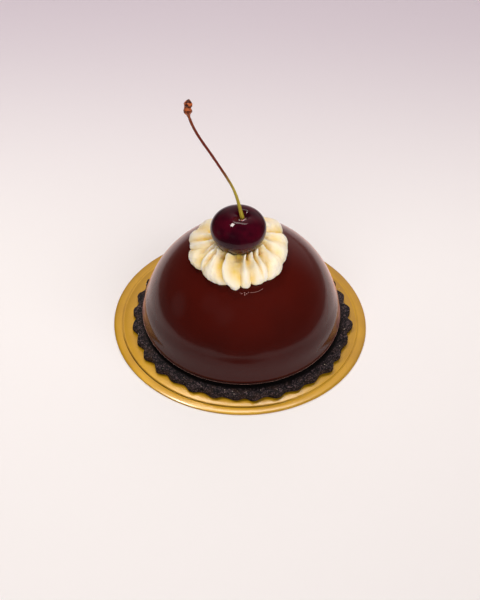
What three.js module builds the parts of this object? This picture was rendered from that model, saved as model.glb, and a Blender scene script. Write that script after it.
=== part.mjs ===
// A one-portion black forest cake: a fluted black biscuit on a round gold card carries a dome
// of mousse under dark mirror glaze, and on the dome's top a piped cream rosette holds a cherry.
// Millimetres, +Z up. The origin is the centre of the card's underside.
import * as THREE from 'three';

// Gold card
const CARD_RADIUS = 50;
const CARD_RIM_HEIGHT = 1.0;
const CARD_PLATEAU_HEIGHT = 1.3;
const CARD_PLATEAU_RADIUS = 46.7;
const CARD_GROOVE_RADIUS = 47.0;
const CARD_GROOVE_DEPTH = 0.3;
const CARD_EDGE = 0.3;
const CARD_SEGMENTS = 72;

// Fluted biscuit
const BISCUIT_CENTRE = [0.7, -1.1];
const BISCUIT_PEAK_RADIUS = 43.4;
const BISCUIT_NOTCH_RADIUS = 41.8;
const BISCUIT_THICKNESS = 3.0;
const BISCUIT_FLUTES = 32;
const BISCUIT_FIRST_FLUTE = THREE.MathUtils.degToRad(-93);
const BISCUIT_CORNER = 0.35;
const COLUMNS_PER_FLUTE = 7;

// Dome: a ball's upper part on a short upright foot
const DOME_RADIUS = 38.6;
const DOME_FOOT = 2.0;
const DOME_FOOT_ROUNDING = 0.8;
const DOME_SEGMENTS = 72;
const DOME_RINGS = 17;
const DOME_BASE = CARD_PLATEAU_HEIGHT + BISCUIT_THICKNESS;
const DOME_CENTRE = new THREE.Vector3(0.6, -1.1, DOME_BASE + DOME_FOOT);

// Cream rosette, piped a little to the front left of the dome's top
const ROSETTE_OFFSET = [-2.2, -3.1];
const ROSETTE_RADIUS = 19.2;
const ROSETTE_HEIGHT = 6.4;
const BULGE_HEIGHT = 2.7;
const BULGE_TUCK = 4.5;
const BULGE_SHOULDER = 6.8;
const GROOVE_CUT = 1.5;
const GROOVE_DIP = 2.0;
const GROOVE_SHARPNESS = 0.55;
const RIDGE_TWIST = THREE.MathUtils.degToRad(-5);
const RIM_LIFT = 0.5;
const RIM_DIP = 1.1;
const COLUMNS_PER_RIDGE = 6;
const WALL_STEPS = 7;
const FOOT_ANGLE = THREE.MathUtils.degToRad(-60);
// Each ridge that the nozzle left, anticlockwise: its width in degrees and how far it stands
// out past or short of the rosette's radius.
const FIRST_RIDGE_START = THREE.MathUtils.degToRad(149);
const RIDGES = [
  [19, 1.0], [49, 0.3], [43, 0.1], [14, 0.9], [11, 0.5], [20, 0.4], [14, 0.7], [22, 0.2],
  [17, -0.1], [14, -0.4], [10, -1.4], [27, 0.4], [23, -1.0], [23, -0.6], [24, -0.6], [30, 0.4],
];

// Cherry
const CHERRY_CENTRE = new THREE.Vector3(-1.7, -6.8, 54.1);
const CHERRY_LEAN = [-0.04, -0.03];
const CHERRY_RADIUS = 10.35;
const CHERRY_UPPER_HEIGHT = 8.5;
const CHERRY_LOWER_HEIGHT = 8.4;
const CHERRY_SHOULDER = 0.17;
const DIMPLE_DEPTH = 2.7;
const DIMPLE_WIDTH = 3.6;
const DIMPLE_LATITUDE = THREE.MathUtils.degToRad(82);
const DIMPLE_TURN = THREE.MathUtils.degToRad(15);
const CHERRY_COLUMNS = 40;
const CHERRY_RINGS = 18;
const SEAT_RIM = THREE.MathUtils.degToRad(-38);

// Stem: it leans to the left and back, and ends in the knob it was picked by
const STEM_LEAN_BACK = THREE.MathUtils.degToRad(20);
const STEM_ROUTE = [[0, 0], [-3.4, 10.9], [-9.7, 20.9], [-17.5, 32.3], [-20.8, 40.2], [-20.7, 45.7]];
const STEM_FOOT_RADIUS = 0.76;
const STEM_RADIUS = 0.48;
const STEM_FOOT_SHARE = 0.3;
const KNOB_START = 0.885;
const KNOB_RADIUS = 1.75;
const KNOB_LUMP = 0.16;
const STEM_SIDES = 10;
const STEM_RINGS = 32;

// Clearance between curved pieces that rest on each other
const GAP = 0.3;

// A closed surface through a stack of rings. The first and the last are single points.
function skin(rings) {
  const positions = [];
  const starts = rings.map((ring) => {
    const start = positions.length / 3;
    ring.forEach((point) => positions.push(point.x, point.y, point.z));
    return start;
  });
  const triangles = [];
  for (let row = 0; row + 1 < rings.length; row += 1) {
    const count = Math.max(rings[row].length, rings[row + 1].length);
    for (let column = 0; column < count; column += 1) {
      const next = (column + 1) % count;
      const low = starts[row];
      const high = starts[row + 1];
      if (rings[row].length === 1) triangles.push(low, high + next, high + column);
      else if (rings[row + 1].length === 1) triangles.push(low + column, low + next, high);
      else {
        triangles.push(low + column, low + next, high + next);
        triangles.push(low + column, high + next, high + column);
      }
    }
  }
  const geometry = new THREE.BufferGeometry();
  geometry.setAttribute('position', new THREE.Float32BufferAttribute(positions, 3));
  geometry.setIndex(triangles);
  geometry.computeVertexNormals();
  return geometry;
}

function ring(columns, pointAt) {
  return Array.from({ length: columns }, (_, column) => pointAt(column));
}

function piece(name, geometry, color, roughness, metalness = 0) {
  const material = new THREE.MeshStandardMaterial({ color, roughness, metalness });
  const mesh = new THREE.Mesh(geometry, material);
  mesh.name = name;
  return mesh;
}

// The card is pressed board: a raised round field, a fine groove and a rounded rim.
function goldCard() {
  const profile = [
    [0, 0],
    [CARD_RADIUS - CARD_EDGE, 0],
    [CARD_RADIUS, CARD_EDGE],
    [CARD_RADIUS, CARD_RIM_HEIGHT - CARD_EDGE],
    [CARD_RADIUS - CARD_EDGE, CARD_RIM_HEIGHT],
    [CARD_GROOVE_RADIUS + CARD_GROOVE_DEPTH, CARD_RIM_HEIGHT],
    [CARD_GROOVE_RADIUS, CARD_RIM_HEIGHT - CARD_GROOVE_DEPTH],
    [CARD_PLATEAU_RADIUS, CARD_RIM_HEIGHT],
    [CARD_PLATEAU_RADIUS - CARD_EDGE * 2, CARD_PLATEAU_HEIGHT],
    [0, CARD_PLATEAU_HEIGHT],
  ].map(([radius, height]) => new THREE.Vector2(radius, height));
  const geometry = new THREE.LatheGeometry(profile, CARD_SEGMENTS);
  geometry.rotateX(Math.PI / 2);
  return piece('gold_card', geometry, 0xc9983a, 0.3, 1);
}

// The biscuit is cut with a fluted ring: its edge is a cosine wave round a circle.
function biscuit() {
  const columns = BISCUIT_FLUTES * COLUMNS_PER_FLUTE;
  const middle = (BISCUIT_PEAK_RADIUS + BISCUIT_NOTCH_RADIUS) / 2;
  const swing = (BISCUIT_PEAK_RADIUS - BISCUIT_NOTCH_RADIUS) / 2;
  const outline = (inset, height) => ring(columns, (column) => {
    const turn = (column / columns) * Math.PI * 2;
    const radius = middle + swing * Math.cos(turn * BISCUIT_FLUTES) - inset;
    const angle = BISCUIT_FIRST_FLUTE + turn;
    return new THREE.Vector3(
      BISCUIT_CENTRE[0] + radius * Math.cos(angle),
      BISCUIT_CENTRE[1] + radius * Math.sin(angle),
      height,
    );
  });
  const bottom = CARD_PLATEAU_HEIGHT;
  const top = bottom + BISCUIT_THICKNESS;
  const geometry = skin([
    [new THREE.Vector3(...BISCUIT_CENTRE, bottom)],
    outline(BISCUIT_CORNER, bottom),
    outline(0, bottom + BISCUIT_CORNER),
    outline(0, top - BISCUIT_CORNER),
    outline(BISCUIT_CORNER, top),
    [new THREE.Vector3(...BISCUIT_CENTRE, top)],
  ]);
  return piece('biscuit', geometry, 0x1d1a1b, 0.9);
}

// A ball of DOME_RADIUS from its equator up, on an upright foot whose lower edge is rounded.
function glazedDome() {
  const outline = new THREE.Path();
  outline.moveTo(0, -DOME_FOOT);
  outline.lineTo(DOME_RADIUS - DOME_FOOT_ROUNDING, -DOME_FOOT);
  outline.lineTo(DOME_RADIUS - DOME_FOOT_ROUNDING * 0.3, -DOME_FOOT + DOME_FOOT_ROUNDING * 0.3);
  outline.lineTo(DOME_RADIUS, -DOME_FOOT + DOME_FOOT_ROUNDING);
  const profile = outline.getPoints();
  for (let step = 0; step <= DOME_RINGS; step += 1) {
    const rise = (step / DOME_RINGS) * (Math.PI / 2);
    profile.push(new THREE.Vector2(DOME_RADIUS * Math.cos(rise), DOME_RADIUS * Math.sin(rise)));
  }
  profile[profile.length - 1].x = 0;
  const geometry = new THREE.LatheGeometry(profile, DOME_SEGMENTS);
  geometry.rotateX(Math.PI / 2);
  geometry.translate(...DOME_CENTRE);
  return piece('glazed_dome', geometry, 0x46100c, 0.12);
}

// A point over the dome, from its distance to the rosette's axis, its height over the glaze and
// its angle round that axis.
const rosetteAxis = new THREE.Vector3(...ROSETTE_OFFSET, DOME_RADIUS).normalize();
const rosetteSide = new THREE.Vector3(1, 0, 0).addScaledVector(rosetteAxis, -rosetteAxis.x).normalize();
const rosetteDepth = new THREE.Vector3().crossVectors(rosetteAxis, rosetteSide);

function overDome(radius, height, angle) {
  const distance = DOME_RADIUS + height;
  const out = rosetteSide.clone().multiplyScalar(Math.cos(angle) * radius);
  out.addScaledVector(rosetteDepth, Math.sin(angle) * radius);
  out.addScaledVector(rosetteAxis, Math.sqrt(distance * distance - radius * radius));
  return out.add(DOME_CENTRE);
}

// A cherry's skin: an oval that is broader at its shoulders than at its tip, and that sinks into
// the stem's dimple a little beside its top.
const cherryAxis = new THREE.Vector3(...CHERRY_LEAN, 1).normalize();
const cherryTurn = new THREE.Quaternion().setFromUnitVectors(new THREE.Vector3(0, 0, 1), cherryAxis);

function cherryOval(latitude, turn, outset = 0) {
  const shoulder = 1 + CHERRY_SHOULDER * Math.sin(latitude);
  const radius = (CHERRY_RADIUS * shoulder + outset) * Math.cos(latitude);
  const half = latitude > 0 ? CHERRY_UPPER_HEIGHT : CHERRY_LOWER_HEIGHT;
  const height = (half + outset) * Math.sin(latitude);
  return new THREE.Vector3(radius * Math.cos(turn), radius * Math.sin(turn), height);
}

function onCherry(latitude, turn, outset = 0) {
  const point = cherryOval(latitude, turn, outset);
  if (latitude > 0) {
    const dimple = cherryOval(DIMPLE_LATITUDE, DIMPLE_TURN);
    const apart = Math.hypot(point.x - dimple.x, point.y - dimple.y);
    point.z -= DIMPLE_DEPTH * Math.exp(-((apart / DIMPLE_WIDTH) ** 2));
  }
  return point.applyQuaternion(cherryTurn).add(CHERRY_CENTRE);
}

// The columns of the rosette: the angle, the reach and the groove share (1 between two ridges,
// 0 on the crest of one) at each.
function ridgeColumns() {
  const columns = [];
  let start = FIRST_RIDGE_START;
  RIDGES.forEach(([width, stand], index) => {
    const [, nextStand] = RIDGES[(index + 1) % RIDGES.length];
    const span = THREE.MathUtils.degToRad(width);
    for (let step = 0; step < COLUMNS_PER_RIDGE; step += 1) {
      const share = step / COLUMNS_PER_RIDGE;
      const crest = Math.sin(Math.PI * share) ** GROOVE_SHARPNESS;
      const previous = RIDGES[(index + RIDGES.length - 1) % RIDGES.length][1];
      const beside = share < 0.5 ? previous : nextStand;
      columns.push({
        angle: start + span * share,
        reach: ROSETTE_RADIUS + stand * crest + ((stand + beside) / 2) * (1 - crest),
        groove: 1 - crest,
      });
    }
    start += span;
  });
  return columns;
}

// The rosette's section runs from the middle of its underside out to the foot, round the bulge
// and over the crest to the rim, and down into the seat that the cherry rests in.
function creamRosette() {
  const columns = ridgeColumns();
  const level = (pointAt) => columns.map((column) => pointAt(column));
  const wall = (column, turn) => {
    const width = turn < 0 ? BULGE_TUCK : BULGE_SHOULDER;
    const lift = turn < 0 ? (BULGE_HEIGHT - GAP) / Math.sin(-FOOT_ANGLE) : ROSETTE_HEIGHT - BULGE_HEIGHT;
    const dip = GROOVE_DIP * column.groove * Math.max(0, Math.sin(turn));
    const radius = column.reach - GROOVE_CUT * column.groove - width * (1 - Math.cos(turn));
    return overDome(radius, BULGE_HEIGHT + lift * Math.sin(turn) - dip, column.angle);
  };
  const rings = [
    [overDome(0, GAP, 0)],
    level((column) => overDome(6, GAP, column.angle)),
    level((column) => overDome(11.5, GAP, column.angle)),
  ];
  for (let step = 0; step <= WALL_STEPS; step += 1) {
    const turn = THREE.MathUtils.lerp(FOOT_ANGLE, Math.PI / 2, step / WALL_STEPS);
    rings.push(level((column) => wall(column, turn)));
  }
  const seat = (column, latitude) => onCherry(latitude, column.angle + RIDGE_TWIST, GAP);
  const rimLatitude = (column) => SEAT_RIM - 0.2 * column.groove;
  rings.push(level((column) => {
    const rim = wall(column, Math.PI / 2).lerp(seat(column, rimLatitude(column)), 0.5);
    return rim.addScaledVector(rosetteAxis, RIM_LIFT - RIM_DIP * column.groove);
  }));
  for (let step = 0; step < 3; step += 1) {
    rings.push(level((column) => seat(column, THREE.MathUtils.lerp(rimLatitude(column), -Math.PI / 2, step / 3))));
  }
  rings.push([onCherry(-Math.PI / 2, 0, GAP)]);
  return piece('cream_rosette', skin(rings), 0xf3e3bd, 0.5);
}

function cherry() {
  const rings = [];
  for (let step = 0; step <= CHERRY_RINGS; step += 1) {
    const latitude = THREE.MathUtils.lerp(-Math.PI / 2, Math.PI / 2, step / CHERRY_RINGS);
    const atPole = step === 0 || step === CHERRY_RINGS;
    const columns = atPole ? 1 : CHERRY_COLUMNS;
    rings.push(ring(columns, (column) => onCherry(latitude, (column / columns) * Math.PI * 2)));
  }
  return piece('cherry', skin(rings), 0x2c0410, 0.1);
}

// A tapering tube along a curve in the stem's leaning plane, swelling to a lumpy knob. Its foot
// is square to the cherry's axis, as it grows from the dimple.
function cherryStem() {
  const foot = onCherry(DIMPLE_LATITUDE, DIMPLE_TURN).addScaledVector(cherryAxis, GAP);
  const side = new THREE.Vector3(1, 0, 0);
  const up = new THREE.Vector3(0, Math.sin(STEM_LEAN_BACK), Math.cos(STEM_LEAN_BACK));
  const normal = new THREE.Vector3().crossVectors(side, up);
  const route = new THREE.CatmullRomCurve3(STEM_ROUTE.map(([sideways, along]) => (
    foot.clone().addScaledVector(side, sideways).addScaledVector(up, along)
  )));
  const radiusAt = (share, turn) => {
    const foundation = Math.max(0, 1 - share / STEM_FOOT_SHARE);
    const stalk = THREE.MathUtils.lerp(STEM_RADIUS, STEM_FOOT_RADIUS, foundation ** 2);
    const knob = Math.max(0, (share - KNOB_START) / (1 - KNOB_START));
    const lumps = 1 + KNOB_LUMP * Math.sin(turn * 3 + share * 40) * Math.sin(share * 150);
    return stalk + (KNOB_RADIUS - STEM_RADIUS) * Math.sin(Math.PI * knob ** 0.8) ** 0.6 * lumps;
  };
  const rings = [[foot]];
  for (let step = 0; step <= STEM_RINGS; step += 1) {
    const share = (step / STEM_RINGS) ** 0.8;
    const middle = route.getPointAt(share);
    const along = step === 0 ? cherryAxis : route.getTangentAt(share);
    const across = new THREE.Vector3().crossVectors(along, normal).normalize();
    const over = new THREE.Vector3().crossVectors(across, along);
    rings.push(ring(STEM_SIDES, (column) => {
      const turn = (column / STEM_SIDES) * Math.PI * 2;
      const radius = radiusAt(share, turn);
      return middle.clone()
        .addScaledVector(across, radius * Math.cos(turn))
        .addScaledVector(over, radius * -Math.sin(turn));
    }));
  }
  rings.push([route.getPointAt(1)]);
  return piece('cherry_stem', skin(rings), 0x7a4a28, 0.6);
}

const cake = new THREE.Group();
cake.add(goldCard(), biscuit(), glazedDome(), creamRosette(), cherry(), cherryStem());

export default cake;
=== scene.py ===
from math import cos, pi, radians, sin

import bpy
import numpy as np
from mathutils import Matrix, Vector


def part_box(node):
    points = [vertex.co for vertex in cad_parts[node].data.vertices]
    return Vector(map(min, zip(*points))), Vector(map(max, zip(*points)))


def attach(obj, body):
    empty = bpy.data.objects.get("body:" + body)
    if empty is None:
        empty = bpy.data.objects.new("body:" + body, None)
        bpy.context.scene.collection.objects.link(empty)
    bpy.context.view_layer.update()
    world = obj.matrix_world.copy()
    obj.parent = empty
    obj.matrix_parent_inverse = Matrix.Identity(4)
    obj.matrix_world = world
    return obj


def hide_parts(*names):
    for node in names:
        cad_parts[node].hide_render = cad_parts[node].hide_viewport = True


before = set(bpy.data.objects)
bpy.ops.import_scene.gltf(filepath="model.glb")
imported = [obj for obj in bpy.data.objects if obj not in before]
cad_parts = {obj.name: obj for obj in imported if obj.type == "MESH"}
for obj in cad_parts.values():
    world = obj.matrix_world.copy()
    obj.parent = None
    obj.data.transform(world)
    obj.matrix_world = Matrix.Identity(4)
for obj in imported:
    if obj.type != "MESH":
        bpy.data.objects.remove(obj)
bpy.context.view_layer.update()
MM = 0.001

# ---------------------------------------------------------------------------------------------
# Camera: a portrait lens at a seated guest's eye level, a little less than half way between
# level and straight down, aimed just behind the cake's middle and rolled by under two degrees.
# ---------------------------------------------------------------------------------------------
CAMERA_ELEVATION = radians(43.9)
CAMERA_DISTANCE = 650 * MM
CAMERA_TARGET = Vector((-0.35, 12.5, 0)) * MM
CAMERA_ROLL = radians(1.85)
CAMERA_SENSOR = 36.0
CAMERA_LENS = 96.66


def in_scene(name, data):
    """Object of a name that shows some data, linked into the scene."""
    made = bpy.data.objects.new(name, data)
    bpy.context.scene.collection.objects.link(made)
    return made


towards_camera = Vector((0, -cos(CAMERA_ELEVATION), sin(CAMERA_ELEVATION)))
camera_axes = Matrix((Vector((1, 0, 0)), towards_camera.cross(Vector((1, 0, 0))), towards_camera))
camera_turn = camera_axes.transposed() @ Matrix.Rotation(CAMERA_ROLL, 3, "Z")
camera = in_scene("camera", bpy.data.cameras.new("camera"))
camera.data.sensor_width = CAMERA_SENSOR
camera.data.lens = CAMERA_LENS
camera.data.clip_start = 10 * MM
camera.matrix_world = (
    Matrix.Translation(CAMERA_TARGET + towards_camera * CAMERA_DISTANCE) @ camera_turn.to_4x4()
)
bpy.context.scene.camera = camera
bpy.context.scene.view_settings.view_transform = "Standard"

# ---------------------------------------------------------------------------------------------
# Gold card: the round board that the cake is lifted by. Grey board a millimetre thick, wrapped
# in gold foil and pressed, which leaves a raised field, a fine groove and a rounded rim.
# ---------------------------------------------------------------------------------------------
card_low, card_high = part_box("gold_card")
CARD_RADIUS = (card_high.x - card_low.x) / 2
FIELD_HEIGHT = card_high.z
FIELD_RADIUS = 46.1 * MM
FIELD_FALL = 0.42 * MM
FIELD_FALL_FROM = 42.5 * MM
RIM_HEIGHT = 1.0 * MM
RIM_FALL = 0.3 * MM
RIM_FALL_FROM = 47.4 * MM
RIM_EDGE = 0.35 * MM
GROOVE_RADIUS = 46.8 * MM
GROOVE_HALF_WIDTH = 0.24 * MM
GROOVE_DEPTH = 0.4 * MM
GROOVE_SHALLOW = 0.12
GROOVE_DEEP_TURN = radians(-115)
GROOVE_DEEP_FROM = 0.6
GROOVE_DEEP_OVER = 0.25
GROOVE_SHADE_WIDTH = 0.16 * MM
UPPER_SIDE = 0.3 * MM
FOIL_WAVE = 9 * MM
FOIL_WAVE_DEPTH = 0.05 * MM
CARD_COLUMNS = 360

FOIL_GOLD = "DAA806"
FOIL_DEEP_GOLD = "CC9A04"
FOIL_GROOVE_SHADE = "30200A"
FOIL_GRAIN = 0.45 * MM
FOIL_CLOUD = 14 * MM


def arc(centre, radius, start, end, steps):
    """Profile points (radius, height) on an arc round a centre, between two angles in degrees."""
    turn = np.radians(np.linspace(start, end, steps))
    return np.stack([centre[0] + radius * np.cos(turn), centre[1] + radius * np.sin(turn)], axis=-1)


def level(start, end, height, steps):
    """Profile points at one height, evenly from one radius to another."""
    return np.stack([np.linspace(start, end, steps), np.full(steps, height)], axis=-1)


def lathe(profile, columns, centre=(0, 0)):
    """Rings of a profile turned round an upright axis: row by row, each point of the profile runs once
    anticlockwise round the axis at its own radius and height."""
    turn = np.linspace(0, 2 * pi, columns, endpoint=False)
    radius = profile[:, :1]
    height = profile[:, 1:]
    x = centre[0] + radius * np.cos(turn)
    y = centre[1] + radius * np.sin(turn)
    return np.stack([x, y, np.broadcast_to(height, x.shape)], axis=-1)


def lumps(points, size, seed):
    """Soft random heights from -1 to 1 in lumps about size across: each corner of a cubic lattice has a
    seeded random height, and a point blends its cell's eight corners by smoothstep of its place."""
    rng = np.random.default_rng(seed)
    shuffle = rng.permutation(256)
    heights = rng.uniform(-1, 1, 256)
    cell = np.floor(points / size).astype(int)
    share = points / size - cell
    share = share * share * (3 - 2 * share)
    total = np.zeros(points.shape[:-1])
    for corner in np.ndindex(2, 2, 2):
        x, y, z = np.moveaxis(cell + corner, -1, 0)
        weight = np.prod(np.where(corner, share, 1 - share), axis=-1)
        total += weight * heights[shuffle[(shuffle[(shuffle[x % 256] + y) % 256] + z) % 256]]
    return total


def closed_skin(name, rings, **values):
    """Mesh object of a closed surface through a stack of rings (rows x columns x 3, from the bottom up,
    each anticlockwise). Neighbouring rows are joined by four-sided faces, and the first and the last
    are closed by a fan round their own middle. Each value is an attribute, one number per ring point."""
    rows, columns, _ = rings.shape
    points = np.concatenate([rings.reshape(-1, 3), [rings[0].mean(0), rings[-1].mean(0)]])
    here = np.arange(rows * columns).reshape(rows, columns)
    beside = np.roll(here, -1, axis=1)
    sides = np.stack([here[:-1], beside[:-1], beside[1:], here[1:]], axis=-1).reshape(-1, 4)
    middle = np.full(columns, rows * columns)
    lower_fan = np.stack([middle, beside[0], here[0]], axis=-1)
    upper_fan = np.stack([middle + 1, here[-1], beside[-1]], axis=-1)
    mesh = bpy.data.meshes.new(name)
    mesh.from_pydata(points, [], sides.tolist() + lower_fan.tolist() + upper_fan.tolist())
    mesh.shade_smooth()
    for value, numbers in values.items():
        numbers = np.broadcast_to(numbers, (rows, columns))
        ends = [numbers[0].mean(), numbers[-1].mean()]
        attribute = mesh.attributes.new(value, "FLOAT", "POINT")
        attribute.data.foreach_set("value", np.append(numbers.ravel(), ends).astype(np.float32))
    return in_scene(name, mesh)


def linear(code):
    """Linear red, green, blue and alpha of an sRGB hex colour."""
    share = np.array([int(code[at:at + 2], 16) for at in (0, 2, 4)]) / 255
    straight = np.where(share <= 0.04045, share / 12.92, ((share + 0.055) / 1.055) ** 2.4)
    return (*straight, 1.0)


def add(tree, kind, inputs=None, **settings):
    """Adds one shader node. Settings are its own options, and inputs are its sockets by name or number:
    another node's output is linked, and anything else is the socket's value."""
    made = tree.nodes.new("ShaderNode" + kind)
    for name, value in settings.items():
        setattr(made, name, value)
    for name, value in (inputs or {}).items():
        if isinstance(value, bpy.types.NodeSocket):
            tree.links.new(value, made.inputs[name])
        else:
            made.inputs[name].default_value = value
    return made


def surface(name):
    """A new material's name and its node tree, emptied."""
    made = bpy.data.materials.new(name)
    made.use_nodes = True
    made.node_tree.nodes.clear()
    return made, made.node_tree


# The rim falls off to its edge and the field to its shoulder as parabolas do, and the groove between
# them is one wave of a squared cosine.
rim_radius = np.linspace(CARD_RADIUS - RIM_EDGE, GROOVE_RADIUS + GROOVE_HALF_WIDTH, 14)[1:]
rim_sag = np.clip((rim_radius - RIM_FALL_FROM) / (CARD_RADIUS - RIM_FALL_FROM), 0, 1)
rim = np.stack([rim_radius, RIM_HEIGHT - RIM_FALL * rim_sag ** 2], axis=-1)
groove_share = np.linspace(-1, 1, 15)
groove = np.stack([
    GROOVE_RADIUS - GROOVE_HALF_WIDTH * groove_share,
    RIM_HEIGHT - GROOVE_DEPTH * np.cos(groove_share * pi / 2) ** 2,
], axis=-1)
field_edge = FIELD_HEIGHT - FIELD_FALL
shoulder_share = np.linspace(0, 1, 8)[1:]
shoulder = np.stack([
    FIELD_RADIUS + (GROOVE_RADIUS - GROOVE_HALF_WIDTH - FIELD_RADIUS) * (1 - shoulder_share),
    RIM_HEIGHT + (field_edge - RIM_HEIGHT) * np.sin(shoulder_share * pi / 2),
], axis=-1)
field_radius = np.linspace(FIELD_RADIUS, FIELD_FALL_FROM, 12)[1:]
field_sag = (field_radius - FIELD_FALL_FROM) / (FIELD_RADIUS - FIELD_FALL_FROM)
field = np.stack([field_radius, FIELD_HEIGHT - FIELD_FALL * field_sag ** 2], axis=-1)
card_profile = np.concatenate([
    level(2 * MM, CARD_RADIUS - RIM_EDGE, 0, 6),
    arc((CARD_RADIUS - RIM_EDGE, RIM_EDGE), RIM_EDGE, -90, 0, 7)[1:],
    arc((CARD_RADIUS - RIM_EDGE, RIM_HEIGHT - RIM_FALL - RIM_EDGE), RIM_EDGE, 0, 90, 9),
    rim,
    groove,
    shoulder,
    field,
    level(FIELD_FALL_FROM, 2 * MM, FIELD_HEIGHT, 22)[1:],
])
on_top = card_profile[:, 1:] > UPPER_SIDE
# Painted shade: a dark line along the bottom of the groove.
groove_shade = np.exp(-((card_profile[:, :1] - GROOVE_RADIUS) / GROOVE_SHADE_WIDTH) ** 2) * on_top
card_rings = lathe(card_profile, CARD_COLUMNS)

# The press stood a little askew: the groove is at its full depth on one side and shallow on the other,
# and the groove's painted shade is darkest on the deep side.
card_turn = np.linspace(0, 2 * pi, CARD_COLUMNS, endpoint=False)
deep_side = np.clip((np.cos(card_turn - GROOVE_DEEP_TURN) - GROOVE_DEEP_FROM) / GROOVE_DEEP_OVER, 0, 1)
pressed_in = GROOVE_SHALLOW + (1 - GROOVE_SHALLOW) * deep_side
from_groove = np.clip(np.abs(card_profile[:, :1] - GROOVE_RADIUS) / GROOVE_HALF_WIDTH, 0, 1)
groove_sunk = GROOVE_DEPTH * np.cos(from_groove * pi / 2) ** 2 * on_top
card_rings[..., 2] += groove_sunk * (1 - pressed_in)
wrapped = card_rings[..., 2] > RIM_HEIGHT / 3
card_rings[..., 2] -= wrapped * FOIL_WAVE_DEPTH * (0.5 + 0.5 * lumps(card_rings, FOIL_WAVE, 3))

# Gold foil: satin metal over pressed board, under a clear lacquer that carries the highlights. The
# board's fibres print through as a fine grain, and the groove's shade is painted in as a dark line.
foil, tree = surface("gold foil on pressed board")
place = add(tree, "TexCoord").outputs["Object"]
grain = add(tree, "TexNoise", {"Vector": place, "Scale": 1 / FOIL_GRAIN, "Detail": 4.0}).outputs[0]
cloud = add(tree, "TexNoise", {"Vector": place, "Scale": 1 / FOIL_CLOUD, "Detail": 3.0}).outputs[0]
cloud = add(tree, "MapRange", {"Value": cloud, "From Min": 0.35, "From Max": 0.65}).outputs[0]
tone = add(tree, "Mix", {0: cloud, 6: linear(FOIL_DEEP_GOLD), 7: linear(FOIL_GOLD)}, data_type="RGBA")
dull = add(tree, "MapRange", {"Value": grain, "From Min": 0.3, "From Max": 0.7,
                              "To Min": 0.5, "To Max": 0.6})
# Painted shade: the dark line along the groove.
crease = add(tree, "Attribute", attribute_name="crease").outputs["Fac"]
tone = add(tree, "Mix", {0: crease, 6: tone.outputs[2], 7: linear(FOIL_GROOVE_SHADE)}, data_type="RGBA")
bump = add(tree, "Bump", {"Height": grain, "Strength": 0.25, "Distance": 0.012 * MM})
metal = add(tree, "BsdfPrincipled", {
    "Base Color": tone.outputs[2], "Metallic": 0.75, "Roughness": dull.outputs[0],
    "Coat Weight": 1.0, "Coat Roughness": 0.22, "Coat IOR": 1.8,
    "Normal": bump.outputs[0],
})
add(tree, "OutputMaterial", {"Surface": metal.outputs[0]})

card = closed_skin("gold_card_foil", card_rings, crease=groove_shade * pressed_in)
card.data.materials.append(foil)
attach(card, "root")
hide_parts("gold_card")

# ---------------------------------------------------------------------------------------------
# Biscuit: a thin black cocoa sable, rolled out, cut with a fluted ring and baked dry. It lies
# on the card's field and carries the dome. Its flutes came out of the oven uneven.
# ---------------------------------------------------------------------------------------------
biscuit_low, biscuit_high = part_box("biscuit")
BISCUIT_CENTRE = ((biscuit_low.x + biscuit_high.x) / 2, (biscuit_low.y + biscuit_high.y) / 2)
BISCUIT_TOP = biscuit_high.z
BISCUIT_BOTTOM = biscuit_low.z
FLUTES = 32
FIRST_FLUTE = radians(-93)
NOTCH_RADIUS = 41.7 * MM
FLUTE_DEPTH = 1.75 * MM
FLUTE_UNEVENNESS = 0.4
BISCUIT_CORNER = 0.7 * MM
BISCUIT_CRAG = 1.7 * MM
BISCUIT_CRAG_HEIGHT = 0.2 * MM
BISCUIT_GRAIN = 0.6 * MM
BISCUIT_GRAIN_HEIGHT = 0.09 * MM
BISCUIT_COLUMNS = 960
SHOWN_FROM = 36 * MM
CRUMBS = 46
CRUMB_RING = (40.3 * MM, 42.6 * MM)
CRUMB_SIZES = (0.09 * MM, 0.2 * MM)
SABLE_GRAIN = 0.5 * MM
SABLE_CLOUD = 4 * MM
DOME_SHADE_FROM = 39.6 * MM
DOME_SHADE_TO = 39.0 * MM

BISCUIT_BLACK = "050407"
BISCUIT_GREY = "6A565A"
BISCUIT_BROWN = "3A2418"
BISCUIT_DOME_SHADE = "0A0707"
CRUMB_PALE = "C9B9A6"
CRUMB_DARK = "5A4638"


def outward(rings):
    """Unit normal at each ring point: the way to the next column crossed with the way to the next row."""
    along = np.roll(rings, -1, axis=1) - np.roll(rings, 1, axis=1)
    up = np.gradient(rings, axis=0)
    normal = np.cross(along, up)
    return normal / np.maximum(np.linalg.norm(normal, axis=-1, keepdims=True), 1e-15)


biscuit_profile = np.concatenate([
    level(-NOTCH_RADIUS + 2 * MM, -BISCUIT_CORNER, BISCUIT_BOTTOM, 5),
    arc((-BISCUIT_CORNER / 2, BISCUIT_BOTTOM + BISCUIT_CORNER / 2), BISCUIT_CORNER / 2, -90, 0, 5),
    np.stack([
        np.zeros(9),
        np.linspace(BISCUIT_BOTTOM + BISCUIT_CORNER / 2, BISCUIT_TOP - BISCUIT_CORNER, 9),
    ], axis=-1)[1:],
    arc((-BISCUIT_CORNER, BISCUIT_TOP - BISCUIT_CORNER), BISCUIT_CORNER, 0, 90, 8)[1:],
    level(-BISCUIT_CORNER, SHOWN_FROM - NOTCH_RADIUS, BISCUIT_TOP, 26)[1:],
    level(SHOWN_FROM - NOTCH_RADIUS, 2 * MM - NOTCH_RADIUS, BISCUIT_TOP, 5)[1:],
])
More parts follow.
